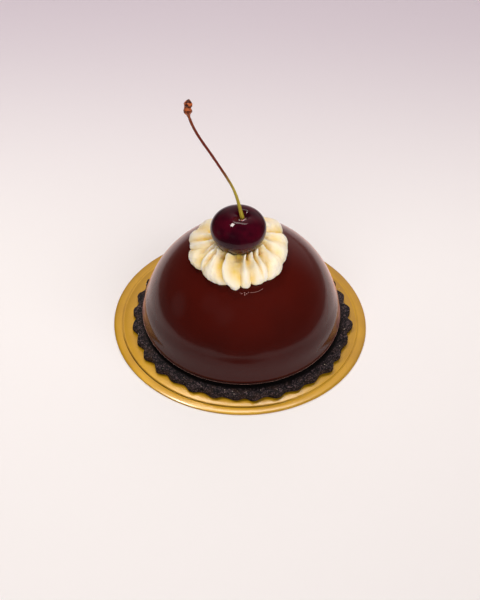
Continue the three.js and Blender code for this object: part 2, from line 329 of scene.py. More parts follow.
# The profile's radius counts from the flutes' notches. A flute's reach is a rounded wave, high in its
# middle and nothing at the notches, and each flute has its own height and its own lean.
flute_turn = np.linspace(0, FLUTES, BISCUIT_COLUMNS, endpoint=False)
flute = np.round(flute_turn).astype(int) % FLUTES
flute_share = flute_turn - np.round(flute_turn)
rng = np.random.default_rng(11)
flute_height = 1 + FLUTE_UNEVENNESS * rng.uniform(-1, 0.55, FLUTES)
flute_lean = rng.uniform(-0.09, 0.09, FLUTES)
leaning = flute_share + flute_lean[flute] * (1 - 4 * flute_share ** 2)
reach = FLUTE_DEPTH * flute_height[flute] * np.cos(pi * leaning) ** 2
angle = FIRST_FLUTE + flute_turn * 2 * pi / FLUTES
inset = biscuit_profile[:, :1]
height = biscuit_profile[:, 1:]
radius = NOTCH_RADIUS + inset + reach * np.clip(1 + inset / (5 * MM), 0, 1)
biscuit_rings = np.stack([
    BISCUIT_CENTRE[0] + radius * np.cos(angle),
    BISCUIT_CENTRE[1] + radius * np.sin(angle),
    np.broadcast_to(height, radius.shape),
], axis=-1)
crumb = (
    BISCUIT_CRAG_HEIGHT * lumps(biscuit_rings, BISCUIT_CRAG, 21)
    + BISCUIT_GRAIN_HEIGHT * lumps(biscuit_rings, BISCUIT_GRAIN, 22)
)
off_the_card = np.clip((biscuit_rings[..., 2] - BISCUIT_BOTTOM) / (1 * MM), 0, 1)
biscuit_rings += outward(biscuit_rings) * (crumb * off_the_card)[..., None]


def strewn(name, places, sizes, unevenness, seed):
    """Mesh object of small closed lumps, one of its own size round each place: a ball of five rings of
    eight points with two poles, each point moved in or out by a random share of the lump's size."""
    latitude = np.radians([-60, -30, 0, 30, 60])[:, None]
    turn = np.linspace(0, 2 * pi, 8, endpoint=False)
    across = np.cos(latitude)
    up = np.broadcast_to(np.sin(latitude), (5, 8))
    ball = np.stack([across * np.cos(turn), across * np.sin(turn), up], axis=-1).reshape(-1, 3)
    ball = np.concatenate([ball, [[0, 0, -1], [0, 0, 1]]])
    moved = np.random.default_rng(seed).uniform(1 - unevenness, 1 + unevenness, (len(places), 42, 1))
    points = places[:, None] + sizes[:, None, None] * ball * moved
    here = np.arange(40).reshape(5, 8)
    beside = np.roll(here, -1, axis=1)
    sides = np.stack([here[:-1], beside[:-1], beside[1:], here[1:]], axis=-1).reshape(-1, 4)
    lower_fan = np.stack([np.full(8, 40), beside[0], here[0]], axis=-1)
    upper_fan = np.stack([np.full(8, 41), here[-1], beside[-1]], axis=-1)
    first = 42 * np.arange(len(places))[:, None, None]
    mesh = bpy.data.meshes.new(name)
    mesh.from_pydata(points.reshape(-1, 3), [], (sides + first).reshape(-1, 4).tolist()
                     + (np.concatenate([lower_fan, upper_fan]) + first).reshape(-1, 3).tolist())
    mesh.shade_smooth()
    return in_scene(name, mesh)


# Black cocoa sable: dry, matt and grainy, with a grey bloom on its grains and browner patches. Under the
# dome's edge the dome's shade is painted on it, nearly black.
sable, tree = surface("baked black cocoa sable")
place = add(tree, "TexCoord").outputs["Object"]
grain = add(tree, "TexNoise", {"Vector": place, "Scale": 1 / SABLE_GRAIN,
                               "Detail": 5.0, "Roughness": 0.65}).outputs[0]
cloud = add(tree, "TexNoise", {"Vector": place, "Scale": 1 / SABLE_CLOUD, "Detail": 3.0}).outputs[0]
bloom = add(tree, "MapRange", {"Value": grain, "From Min": 0.52, "From Max": 0.63}).outputs[0]
black = add(tree, "Mix", {0: bloom, 6: linear(BISCUIT_BLACK), 7: linear(BISCUIT_GREY)}, data_type="RGBA")
browning = add(tree, "MapRange", {"Value": cloud, "From Min": 0.5, "From Max": 0.75,
                                  "To Max": 0.6}).outputs[0]
baked = add(tree, "Mix", {0: browning, 6: black.outputs[2], 7: linear(BISCUIT_BROWN)}, data_type="RGBA")
# Painted shade: a ring next to the dome's edge is painted nearly black.
beside = add(tree, "VectorMath", {0: place, 1: (1, 1, 0)}, operation="MULTIPLY").outputs[0]
beside = add(tree, "VectorMath", {0: beside, 1: (*BISCUIT_CENTRE, 0)}, operation="DISTANCE").outputs["Value"]
dome_shade = add(tree, "MapRange", {"Value": beside, "From Min": DOME_SHADE_FROM, "From Max": DOME_SHADE_TO}).outputs[0]
baked = add(tree, "Mix", {0: dome_shade, 6: baked.outputs[2], 7: linear(BISCUIT_DOME_SHADE)}, data_type="RGBA")
bump = add(tree, "Bump", {"Height": grain, "Strength": 1.0, "Distance": 0.25 * MM})
dry = add(tree, "BsdfPrincipled", {
    "Base Color": baked.outputs[2], "Roughness": 0.82, "IOR": 1.45, "Normal": bump.outputs[0],
})
add(tree, "OutputMaterial", {"Surface": dry.outputs[0]})

biscuit = closed_skin("black_cocoa_biscuit", biscuit_rings)
biscuit.data.materials.append(sable)
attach(biscuit, "root")
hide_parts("biscuit")

# Crumbs: pale and dark grains that the cut biscuit shed, scattered over its ledge.
crumb_turn = rng.uniform(0, 2 * pi, CRUMBS)
crumb_radius = rng.uniform(*CRUMB_RING, CRUMBS)
crumb_size = rng.uniform(*CRUMB_SIZES, CRUMBS)
crumb_places = np.stack([
    BISCUIT_CENTRE[0] + crumb_radius * np.cos(crumb_turn),
    BISCUIT_CENTRE[1] + crumb_radius * np.sin(crumb_turn),
    BISCUIT_TOP + 0.5 * crumb_size,
], axis=-1)
crumbs = strewn("biscuit_crumbs", crumb_places, crumb_size, 0.25, 23)
crumb_stuff, tree = surface("pale biscuit crumbs")
place = add(tree, "TexCoord").outputs["Object"]
shade = add(tree, "TexNoise", {"Vector": place, "Scale": 1 / (6 * MM), "Detail": 0.0}).outputs[0]
shade = add(tree, "MapRange", {"Value": shade, "From Min": 0.4, "From Max": 0.6}).outputs[0]
shade = add(tree, "Mix", {0: shade, 6: linear(CRUMB_DARK), 7: linear(CRUMB_PALE)}, data_type="RGBA")
dusty = add(tree, "BsdfPrincipled", {"Base Color": shade.outputs[2], "Roughness": 0.75})
add(tree, "OutputMaterial", {"Surface": dusty.outputs[0]})
crumbs.data.materials.append(crumb_stuff)
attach(crumbs, "root")

# ---------------------------------------------------------------------------------------------
# Dome: cherry and chocolate mousse from a half-ball mould, frozen, poured over with dark mirror
# glaze and set on the biscuit. The glaze ran down into a foot that flares a little, with a rounded edge.
# ---------------------------------------------------------------------------------------------
dome_low, dome_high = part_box("glazed_dome")
DOME_RADIUS = (dome_high.x - dome_low.x) / 2
DOME_CENTRE = np.array([(dome_low.x + dome_high.x) / 2, (dome_low.y + dome_high.y) / 2,
                        dome_high.z - DOME_RADIUS])
DOME_BASE = dome_low.z
DOME_FOOT_ROUNDING = 3.3 * MM
DOME_WALL_LEAN = 7.0
DOME_FOOT_LEAN = 15.0
DOME_ROWS = 170
DOME_COLUMNS = 400
SKIRT_THICKNESS = 0.34 * MM
SKIRT_FROM = radians(10.5)
SKIRT_TO = radians(18)
UNTHINNED_RADIUS = 8 * MM
GLAZE_WAVE = 13 * MM
GLAZE_WAVE_HEIGHT = 0.045 * MM

GLAZE_BROWN = "350B07"
GLAZE_RED = "440D07"
GLAZE_FOOT_SHADE = "060202"
GLAZE_DEW = "F0B4A6"
GLAZE_BUBBLES = 1.6 * MM
GLAZE_THICKER_LEFT = 0.25 * MM
GLAZE_DARK_BELOW = 18 * MM
GLAZE_LIT_ABOVE = 34 * MM
GLAZE_FOOT_SHADE_FROM = 7.6 * MM
GLAZE_FOOT_SHADE_TO = 6.2 * MM
GLAZE_CLOUD = 18 * MM
GLAZE_HAZE = 0.7 * MM

# The ball's curve ends where it leans in by the wall's lean. From there the wall runs down and flares out
# as a parabola does to the foot's lean, and the rounded edge turns in under the dome.
wall_lean = radians(DOME_WALL_LEAN)
foot_lean = radians(DOME_FOOT_LEAN)
wall_slope = np.tan(wall_lean)
foot_slope = np.tan(foot_lean)
wall_radius = DOME_RADIUS * cos(wall_lean)
wall_top = DOME_CENTRE[2] + DOME_RADIUS * sin(wall_lean)
wall_drop = wall_top - DOME_BASE - DOME_FOOT_ROUNDING * (1 + sin(foot_lean))
down = np.linspace(1, 0, 14)
wall = np.stack([
    wall_radius + wall_drop * (wall_slope * down + (foot_slope - wall_slope) * down ** 2 / 2),
    wall_top - wall_drop * down,
], axis=-1)
edge_centre = (wall[0, 0] - DOME_FOOT_ROUNDING * cos(foot_lean), DOME_BASE + DOME_FOOT_ROUNDING)
rise = np.linspace(wall_lean, pi / 2, DOME_ROWS)[:-1]
dome_profile = np.concatenate([
    level(2 * MM, edge_centre[0], DOME_BASE, 6)[:-1],
    arc(edge_centre, DOME_FOOT_ROUNDING, -90, DOME_FOOT_LEAN, 14),
    wall[1:],
    np.stack([DOME_RADIUS * np.cos(rise), DOME_CENTRE[2] + DOME_RADIUS * np.sin(rise)], axis=-1)[1:],
])
# The glaze set thicker low down: over the skirt's edge it thins by a soft step.
glaze_latitude = np.arcsin(np.clip((dome_profile[:, 1] - DOME_CENTRE[2]) / DOME_RADIUS, -1, 1))
over_skirt = np.clip((glaze_latitude - SKIRT_FROM) / (SKIRT_TO - SKIRT_FROM), 0, 1)
thinned = SKIRT_THICKNESS * over_skirt ** 2 * (3 - 2 * over_skirt)
dome_profile[:, 0] -= thinned * (dome_profile[:, 0] > UNTHINNED_RADIUS)
dome_rings = lathe(dome_profile, DOME_COLUMNS, DOME_CENTRE[:2])
dome_rings[..., 0] -= GLAZE_THICKER_LEFT
flow = GLAZE_WAVE_HEIGHT * (lumps(dome_rings, GLAZE_WAVE, 31) + 0.3 * lumps(dome_rings, GLAZE_WAVE / 3, 32))
off_the_biscuit = np.clip((dome_rings[..., 2] - DOME_BASE) / (1 * MM), 0, 1)
dome_rings += outward(dome_rings) * (flow * off_the_biscuit)[..., None]

# Mirror glaze: cocoa, sugar and gelatine. Wet gloss over a deep red brown, painted redder high up where the
# light from above falls and painted nearly black at its foot as its shade. Pin-sized bubbles and a breath of
# bloom break the mirror up, and the fine dew on a cold cake pales it where it is seen at a slant.
glaze, tree = surface("dark chocolate mirror glaze")
place = add(tree, "TexCoord").outputs["Object"]
cloud = add(tree, "TexNoise", {"Vector": place, "Scale": 1 / GLAZE_CLOUD, "Detail": 2.0}).outputs[0]
cloud = add(tree, "MapRange", {"Value": cloud, "From Min": 0.35, "From Max": 0.65,
                               "To Min": -3 * MM, "To Max": 3 * MM}).outputs[0]
height = add(tree, "SeparateXYZ", {0: place}).outputs[2]
# Painted light: from brown low down to red high up, as the light from above falls.
lit_from_above = add(tree, "Math", {0: height, 1: cloud}, operation="ADD").outputs[0]
lit_from_above = add(tree, "MapRange", {"Value": lit_from_above, "From Min": GLAZE_DARK_BELOW, "From Max": GLAZE_LIT_ABOVE}).outputs[0]
brown = add(tree, "Mix", {0: lit_from_above, 6: linear(GLAZE_BROWN), 7: linear(GLAZE_RED)}, data_type="RGBA")
# Painted shade: low on the foot the glaze is painted nearly black.
shaded = add(tree, "MapRange", {"Value": height, "From Min": GLAZE_FOOT_SHADE_FROM,
                                "From Max": GLAZE_FOOT_SHADE_TO}).outputs[0]
brown = add(tree, "Mix", {0: shaded, 6: brown.outputs[2], 7: linear(GLAZE_FOOT_SHADE)}, data_type="RGBA")
bloom = add(tree, "TexNoise", {"Vector": place, "Scale": 1 / GLAZE_HAZE, "Detail": 3.0}).outputs[0]
haze = add(tree, "MapRange", {"Value": bloom, "From Min": 0.35, "From Max": 0.75,
                              "To Min": 0.06, "To Max": 0.2})
spots = add(tree, "TexVoronoi", {"Vector": place, "Scale": 1 / GLAZE_BUBBLES}).outputs["Distance"]
spots = add(tree, "MapRange", {"Value": spots, "From Min": 0.05, "From Max": 0.16, "To Min": 1.0,
                               "To Max": 0.0}, interpolation_type="SMOOTHSTEP").outputs[0]
bump = add(tree, "Bump", {"Height": spots, "Strength": 0.25, "Distance": 0.05 * MM})
gloss = add(tree, "BsdfPrincipled", {
    "Base Color": brown.outputs[2], "Roughness": haze.outputs[0], "IOR": 1.33, "Normal": bump.outputs[0],
    "Sheen Weight": 0.8, "Sheen Roughness": 0.28, "Sheen Tint": linear(GLAZE_DEW),
})
add(tree, "OutputMaterial", {"Surface": gloss.outputs[0]})

dome = closed_skin("mirror_glazed_dome", dome_rings)
dome.data.materials.append(glaze)
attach(dome, "root")
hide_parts("glazed_dome")

# ---------------------------------------------------------------------------------------------
# Rosette: ivory cream piped in one squeeze from a star nozzle, a little to the front left of the
# dome's top. The nozzle's teeth left uneven ridges, and the cherry pressed their inner ends up.
# ---------------------------------------------------------------------------------------------
ROSETTE_LEAN = np.array([-2.2, -3.1, 38.6])
ROSETTE_RADIUS = 18.6 * MM
ROSETTE_HEIGHT = 6.4 * MM
BULGE_HEIGHT = 2.7 * MM
BULGE_TUCK = 4.5 * MM
BULGE_SHOULDER = 6.8 * MM
CREAM_SINK = 0.15 * MM
GROOVE_CUT = 1.5 * MM
GROOVE_DIP = 2.3 * MM
CROWN_DIP = 1.3 * MM
WALL_WAY = 0.6
SAG_WAY = 0.44
SAG_SPREAD = 0.16
HOLLOW_OF_SAG = 0.35
CREST_LATITUDE = -30
CREST_CLIMB = 9
HOLLOW_LATITUDE = -50
RIM_RADIUS = 9.9 * MM
RIM_RISE = 7 * MM
RIDGE_COLUMNS = 720
WALL_ROWS = 46
CROWN_ROWS = 26
SEAT_ROWS = 6
SEAT_GAP = 0.3 * MM
# Each ridge, anticlockwise. The angle of the groove before it and the angle of its crest, both at the
# foot, half way in and at the cherry. How far its foot stands out and how high its inner end rises (mm).
# The groove's depth at the foot and further in (share of the full depth). How far its middle sags (mm).
RIDGES = np.array([
    [149.0, 154.0, 160.0, 157.0, 170.0, 177.0, 1.5, 0.3, 0.60, 0.50, 0.3],
    [169.5, 179.0, 186.0, 176.0, 189.0, 197.0, -0.1, 0.4, 0.45, 0.90, 0.0],
    [182.5, 197.0, 203.0, 194.0, 205.0, 208.0, 0.5, 0.4, 0.80, 0.50, 1.3],
    [216.6, 211.5, 214.0, 218.7, 216.5, 220.5, -0.9, 0.9, 0.80, 0.80, 0.0],
    [221.5, 222.3, 226.5, 240.0, 230.0, 230.0, 0.2, 1.1, 0.45, 0.90, 0.2],
    [259.5, 246.0, 247.5, 268.0, 250.0, 253.6, 1.2, 1.4, 0.90, 1.10, 0.2],
    [273.5, 273.5, 270.5, 280.0, 281.0, 285.0, 0.9, 0.8, 0.80, 0.70, 0.1],
    [286.3, 288.0, 290.5, 296.0, 296.8, 296.2, 0.8, 1.2, 0.75, 0.80, 0.1],
    [301.0, 302.8, 304.5, 303.6, 307.0, 310.2, 0.5, 1.2, 0.15, 1.00, 0.0],
    [305.8, 315.5, 317.0, 316.0, 328.0, 325.0, 0.9, 0.9, 0.60, 1.05, 0.3],
    [333.0, 338.0, 334.5, 346.0, 349.0, 342.0, -0.1, 0.7, 0.20, 0.95, 0.3],
    [357.0, 360.0, 353.0, 370.0, 370.0, 364.0, 0.1, 0.6, 0.20, 0.70, 0.2],
    [382.9, 379.0, 376.0, 403.0, 394.0, 390.0, 1.4, 0.5, 1.30, 0.65, 0.4],
    [418.0, 415.0, 412.0, 430.0, 427.0, 424.0, -0.4, 0.5, 0.60, 0.65, 0.0],
    [441.0, 439.0, 437.0, 452.0, 451.0, 450.0, -0.1, 0.5, 0.60, 0.65, 0.2],
    [463.0, 463.0, 463.0, 476.0, 475.0, 475.0, -0.3, 0.5, 0.60, 0.65, 0.0],
    [487.0, 488.0, 490.0, 498.0, 500.0, 503.0, 0.4, 0.4, 0.60, 0.60, 0.2],
])

CREAM_IVORY = "FFEFDD"
CREAM_SHADE_YELLOW = "F0D068"
GLAZE_BEAD_GLINT = "B98A84"
CREAM_PATCH = 3.5 * MM
CREAM_PORES = 0.45 * MM

cherry_low, cherry_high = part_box("cherry")
CHERRY_RADIUS = 10.35 * MM
CHERRY_SHOULDER = 0.17
CHERRY_LOWER_HEIGHT = 8.4 * MM
CHERRY_UPPER_HEIGHT = 8.5 * MM
CHERRY_LEAN = Vector((-0.04, -0.03, 1))
CHERRY_CENTRE = np.array([(cherry_low.x + cherry_high.x) / 2, (cherry_low.y + cherry_high.y) / 2,
                          cherry_low.z + CHERRY_LOWER_HEIGHT])
cherry_axes = np.array(Vector((0, 0, 1)).rotation_difference(CHERRY_LEAN).to_matrix())


def cherry_oval(latitude, turn, outset=0.0):
    """A cherry's smooth form about its own axis: an oval with a lower and an upper height of its own,
    whose radius grows with the sine of the latitude, which makes its shoulders broader than its tip."""
    radius = (CHERRY_RADIUS * (1 + CHERRY_SHOULDER * np.sin(latitude)) + outset) * np.cos(latitude)
    half = np.where(latitude > 0, CHERRY_UPPER_HEIGHT, CHERRY_LOWER_HEIGHT)
    x = radius * np.cos(turn)
    y = radius * np.sin(turn)
    return np.stack([x, y, (half + outset) * np.sin(latitude)], axis=-1)


def over_dome(radius, height, angle):
    """A point at a distance from the rosette's axis, at an angle round it and a height over the glaze:
    out along two directions square to the axis, and along it by the rest of the ball's larger radius."""
    axis = ROSETTE_LEAN / np.linalg.norm(ROSETTE_LEAN)
    side = np.array([1, 0, 0]) - axis * axis[0]
    side /= np.linalg.norm(side)
    first = (radius * np.cos(angle))[..., None] * side
    second = (radius * np.sin(angle))[..., None] * np.cross(axis, side)
    along_axis = np.sqrt((DOME_RADIUS + height) ** 2 - radius ** 2)[..., None] * axis
    return DOME_CENTRE + (first + second + along_axis)


def bend(way, foot, middle, rim):
    """The parabola through a value at the foot (way 0), one half way in and one at the cherry (way 1)."""
    return foot * (1 - way) * (1 - 2 * way) + 4 * middle * way * (1 - way) + rim * way * (2 * way - 1)


# Across the rosette's columns: each column's ridge and its share across that ridge. Down its rows: the
# wall turns from under the bulge to its top, and the crown goes on to the cherry. Way is 0 on the
# outside, and as it grows the grooves swing from one angle to the next, and the ridges' rounded backs
# turn into narrow crests with wide hollows between them.
closing = np.vstack([RIDGES, RIDGES[0] + np.array([360] * 6 + [0] * 5)]).T
foot_angle = closing[0]
foot_groove, rim_groove = closing[8:10]
counts = np.round(RIDGE_COLUMNS * np.diff(foot_angle) / 360).astype(int)
ridge = np.repeat(np.arange(len(RIDGES)), counts)
share = np.concatenate([np.linspace(0, 1, count, endpoint=False) for count in counts])
stand, crest_lift, sag = RIDGES[ridge][:, (6, 7, 10)].T * MM
neighbour = np.where(share < 0.5, ridge - 1, (ridge + 1) % len(RIDGES))
between = (stand + RIDGES[neighbour, 6] * MM) / 2
turn = np.radians(np.linspace(-60, 90, WALL_ROWS))[:, None]
along = np.linspace(0, 1, CROWN_ROWS + 1)[1:, None]
way = np.concatenate([WALL_WAY * np.clip(turn / (pi / 2), 0, 1), WALL_WAY + (1 - WALL_WAY) * along])
groove_angle = np.radians(bend(way, *closing[:3]))
angle = groove_angle[:, ridge] * (1 - share) + groove_angle[:, ridge + 1] * share
inward = np.clip(way / WALL_WAY, 0, 1)
groove_depth = foot_groove + (rim_groove - foot_groove) * inward
groove_depth = groove_depth[:, ridge] * (1 - share) + groove_depth[:, ridge + 1] * share
crest_angle = np.radians(bend(way, *closing[3:6]))
crest = ((crest_angle[:, :-1] - groove_angle[:, :-1]) / np.diff(groove_angle))[:, ridge]
hump = np.sin(pi * share ** (np.log(0.5) / np.log(crest)))
back = hump ** (0.5 + 1.5 * inward ** 1.2)
sagging = sag * np.sin(pi * share) ** 2 * np.exp(-((way - SAG_WAY) / SAG_SPREAD) ** 2)
hollow = (1 - back) * groove_depth + HOLLOW_OF_SAG * sagging / MM

reach = ROSETTE_RADIUS + stand * back[:WALL_ROWS] + between * (1 - back[:WALL_ROWS])
width = np.where(turn < 0, BULGE_TUCK, BULGE_SHOULDER)
lift = np.where(turn < 0, (BULGE_HEIGHT + CREAM_SINK) / sin(radians(60)), ROSETTE_HEIGHT - BULGE_HEIGHT)
wall_radius = reach - GROOVE_CUT * hollow[:WALL_ROWS] - width * (1 - np.cos(turn))
dip = GROOVE_DIP * hollow[:WALL_ROWS] * np.clip(np.sin(turn), 0, 1)
wall_height = BULGE_HEIGHT + lift * np.sin(turn) - dip - sagging[:WALL_ROWS]
wall = over_dome(wall_radius, wall_height, angle[:WALL_ROWS])

cream_axis = ROSETTE_LEAN / np.linalg.norm(ROSETTE_LEAN)
rim_place = over_dome(np.full(len(ridge), RIM_RADIUS), RIM_RISE, angle[-1]) - CHERRY_CENTRE
cherry_turn = np.arctan2(rim_place[:, 1], rim_place[:, 0])
crest_latitude = CREST_LATITUDE + CREST_CLIMB * crest_lift / MM
rim_latitude = np.radians(crest_latitude + (HOLLOW_LATITUDE - crest_latitude) * (1 - back[-1]))


def seat(latitude):
    """The cream's surface under the cherry: the cherry's oval with a hair's clearance, in its place."""
    return cherry_oval(latitude, cherry_turn, SEAT_GAP) @ cherry_axes.T + CHERRY_CENTRE


bulging = np.sin(pi * along)
crown_hollow = hollow[WALL_ROWS:]
straight = wall[-1] * (1 - along[..., None]) + seat(rim_latitude) * along[..., None]
crown_lift = bulging * (crest_lift * back[WALL_ROWS:] - CROWN_DIP * crown_hollow)
crown = straight + crown_lift[..., None] * cream_axis
down = np.linspace(0, 1, SEAT_ROWS + 1)[1:-1, None]
seat_rows = seat(rim_latitude + (-pi / 2 - rim_latitude) * down)
under_radius = np.array([2, 8, 13])[:, None] * MM
under = over_dome(np.broadcast_to(under_radius, (3, len(ridge))), -CREAM_SINK, angle[0])
cream_rings = np.concatenate([under, wall, crown, seat_rows])

# The cream's own unevenness: soft lumps, fine drag lines that the nozzle's teeth left along each ridge
# and a grain of air bubbles. It fades out under the rosette and under the cherry.
shown = np.concatenate([np.zeros(3), np.clip(np.linspace(0, 6, WALL_ROWS), 0, 1),
                        np.clip(np.linspace(4, 0, CROWN_ROWS), 0, 1), np.zeros(SEAT_ROWS - 1)])[:, None]
drag = np.sin(angle[0] * 97 + 2 * np.sin(angle[0] * 9)) * np.sin(angle[0] * 61 + 1)
relief = 0.3 * MM * lumps(cream_rings, 3.0 * MM, 41) + 0.12 * MM * lumps(cream_rings, 0.9 * MM, 42)
relief += 0.1 * MM * drag * hump[0]
cream_rings += outward(cream_rings) * (relief * shown)[..., None]
# Painted shade: how much yellower the cream is painted, more in its hollows and more towards the cherry.
depth = np.concatenate([np.repeat(hollow[:1], 3, axis=0), hollow,
                        np.repeat(hollow[-1:], SEAT_ROWS - 1, axis=0)])
cherry_shade = np.concatenate([np.zeros(3), np.linspace(0, 0.25, WALL_ROWS),
                           np.linspace(0.25, 1, CROWN_ROWS), np.ones(SEAT_ROWS - 1)])[:, None]

# Whipped cream with mascarpone: dense and satin, and light goes into it. Its hollows and the crown by the
# cherry are painted yellower as their shade.
cream_stuff, tree = surface("whipped mascarpone cream")
place = add(tree, "TexCoord").outputs["Object"]
shade_mask = add(tree, "Attribute", attribute_name="hollow").outputs["Fac"]
patch = add(tree, "TexNoise", {"Vector": place, "Scale": 1 / CREAM_PATCH, "Detail": 2.0}).outputs[0]
hollow_shade = add(tree, "Math", {0: shade_mask, 1: patch}, operation="MULTIPLY").outputs[0]
tint = add(tree, "MapRange", {"Value": hollow_shade, "From Min": 0.03, "From Max": 0.5}).outputs[0]
ivory = add(tree, "Mix", {0: tint, 6: linear(CREAM_IVORY), 7: linear(CREAM_SHADE_YELLOW)}, data_type="RGBA")
pores = add(tree, "TexNoise", {"Vector": place, "Scale": 1 / CREAM_PORES, "Detail": 3.0}).outputs[0]
bump = add(tree, "Bump", {"Height": pores, "Strength": 0.4, "Distance": 0.04 * MM})
satin = add(tree, "BsdfPrincipled", {
    "Base Color": ivory.outputs[2], "Roughness": 0.42, "IOR": 1.45, "Subsurface Weight": 0.8,
    "Subsurface Radius": (1.0, 0.95, 0.6), "Subsurface Scale": 1.5 * MM, "Normal": bump.outputs[0],
})
add(tree, "OutputMaterial", {"Surface": satin.outputs[0]})

rosette = closed_skin("piped_cream_rosette", cream_rings, hollow=np.clip(depth * 0.9 + cherry_shade * 0.3, 0, 1))
rosette.data.materials.append(cream_stuff)
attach(rosette, "root")
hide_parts("cream_rosette")

# Pressed-out glaze: where the cream sank in, a few bubbles and a thin string of small beads stand up in
# front of it. They are coloured pale pink as painted glints.
bubble_turn = np.radians(np.array([272.7, 274.5, 277.6, 279.6, 277.4, 281.5]))
bubble_reach = np.array([19.5, 19.7, 19.6, 19.9, 20.2, 19.6]) * MM
bead_turn = np.radians(np.linspace(283, 298, 60))
bead_reach = (19.95 - 0.3 * np.linspace(-1, 1, 60) ** 2) * MM
pressed_places = over_dome(np.append(bubble_reach, bead_reach), 0, np.append(bubble_turn, bead_turn))
bead_sizes = np.random.default_rng(25).uniform(0.04, 0.1, 60)
pressed_sizes = np.append([0.14, 0.2, 0.26, 0.22, 0.24, 0.18], bead_sizes) * MM
pressed = strewn("pressed_out_glaze", pressed_places, pressed_sizes, 0.06, 24)
# Painted glints: the beads' pale pink colour stands in for the light glinting on them.
bead_glint_stuff, tree = surface("pale glaze beads with painted glints")
bead_glint_shader = add(tree, "BsdfPrincipled", {"Base Color": linear(GLAZE_BEAD_GLINT), "Roughness": 0.15, "IOR": 1.36})
add(tree, "OutputMaterial", {"Surface": bead_glint_shader.outputs[0]})
pressed.data.materials.append(bead_glint_stuff)
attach(pressed, "root")

# ---------------------------------------------------------------------------------------------
# Cherry: one dark sweet cherry, washed, brushed with clear glaze and pressed upright into the
# rosette. It is broader at its shoulders, and its stem's dimple lies a little beside its top.
# ---------------------------------------------------------------------------------------------
DIMPLE_DEPTH = 2.1 * MM
DIMPLE_WIDTH = 2.5 * MM
DIMPLE_LATITUDE = radians(82)
DIMPLE_TURN = radians(15)
DIMPLE_CREASE = 0.07 * MM
CHERRY_ROWS = 130
CHERRY_COLUMNS = 220

CHERRY_DARK = "28030F"
CHERRY_RED = "480517"
GLINT_PINK = "F2CCC4"
CHERRY_CLOUD = 7 * MM
CHERRY_DOTS = 1.1 * MM


def on_cherry(latitude, turn, outset=0.0):
    """The cherry's skin in its place: its oval, sunk round the stem by a bell-shaped dimple with a few
    shallow creases that run into it, then tilted with its axis and moved to its centre."""
    point = cherry_oval(latitude, turn, outset)
    dimple = cherry_oval(np.array(DIMPLE_LATITUDE), np.array(DIMPLE_TURN))
    away = point[..., :2] - dimple[:2]
    apart = np.hypot(away[..., 0], away[..., 1])
    crease = DIMPLE_CREASE * np.cos(6 * np.arctan2(away[..., 1], away[..., 0]) + 1)
    crease *= np.exp(-((apart / DIMPLE_WIDTH - 1.1) / 0.6) ** 2)
    point[..., 2] -= (latitude > 0) * (DIMPLE_DEPTH * np.exp(-(apart / DIMPLE_WIDTH) ** 2) + crease)
    return point @ cherry_axes.T + CHERRY_CENTRE


latitude = np.radians(np.linspace(-89, 89, CHERRY_ROWS))[:, None]
cherry_round = np.linspace(0, 2 * pi, CHERRY_COLUMNS, endpoint=False)
latitude, cherry_round = np.broadcast_arrays(latitude, cherry_round)
cherry_rings = on_cherry(latitude, cherry_round)
cherry_rings += outward(cherry_rings) * (0.06 * MM * lumps(cherry_rings, 5 * MM, 51))[..., None]

# Cherry skin: nearly black red, thin and wet with glaze. Faint raised dots where the skin breathes.
skin, tree = surface("glazed dark cherry skin")
place = add(tree, "TexCoord").outputs["Object"]
cloud = add(tree, "TexNoise", {"Vector": place, "Scale": 1 / CHERRY_CLOUD, "Detail": 3.0}).outputs[0]
ripe = add(tree, "MapRange", {"Value": cloud, "From Min": 0.38, "From Max": 0.68}).outputs[0]
red = add(tree, "Mix", {0: ripe, 6: linear(CHERRY_DARK), 7: linear(CHERRY_RED)}, data_type="RGBA")
dots = add(tree, "TexVoronoi", {"Vector": place, "Scale": 1 / CHERRY_DOTS}).outputs["Distance"]
dots = add(tree, "MapRange", {"Value": dots, "From Min": 0.04, "From Max": 0.2,
                              "To Min": 1.0, "To Max": 0.0})
bump = add(tree, "Bump", {"Height": dots.outputs[0], "Strength": 0.12, "Distance": 0.03 * MM})
wet = add(tree, "BsdfPrincipled", {
    "Base Color": red.outputs[2], "Roughness": 0.06, "IOR": 1.31, "Normal": bump.outputs[0],
})
add(tree, "OutputMaterial", {"Surface": wet.outputs[0]})

cherry = closed_skin("glazed_cherry", cherry_rings)
cherry.data.materials.append(skin)
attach(cherry, "root")
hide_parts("cherry")

# Painted glints: pale pink specks in a broken ring in front of the stem, where the wet rim of the dimple
# catches the light.
glint_turn = np.radians(np.array([-82, -76, -68, -61, -54, -48, -41, -34, -27, -20, -62, -44, -30, -12]))
glint_latitude = np.radians(np.array([78, 77, 75.5, 74.5, 74, 74.5, 75, 76.5, 76, 78, 77, 77.5, 73.5, 76]))
# Painted glints: the pale specks stand where the light glints on the dimple's rim.
glint_places = on_cherry(glint_latitude, glint_turn)
glint_sizes = np.array([0.09, 0.14, 0.1, 0.16, 0.17, 0.11, 0.15, 0.1, 0.17, 0.12, 0.1, 0.13, 0.1, 0.13]) * MM
glint_specks = strewn("painted_glints", glint_places, glint_sizes, 0.3, 52)
glint_stuff, tree = surface("pale pink painted glints")
clear = add(tree, "BsdfPrincipled", {
    "Base Color": linear(GLINT_PINK), "Roughness": 0.2, "Subsurface Weight": 0.5,
    "Subsurface Scale": 0.3 * MM,
})
add(tree, "OutputMaterial", {"Surface": clear.outputs[0]})
glint_specks.data.materials.append(glint_stuff)
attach(glint_specks, "root")

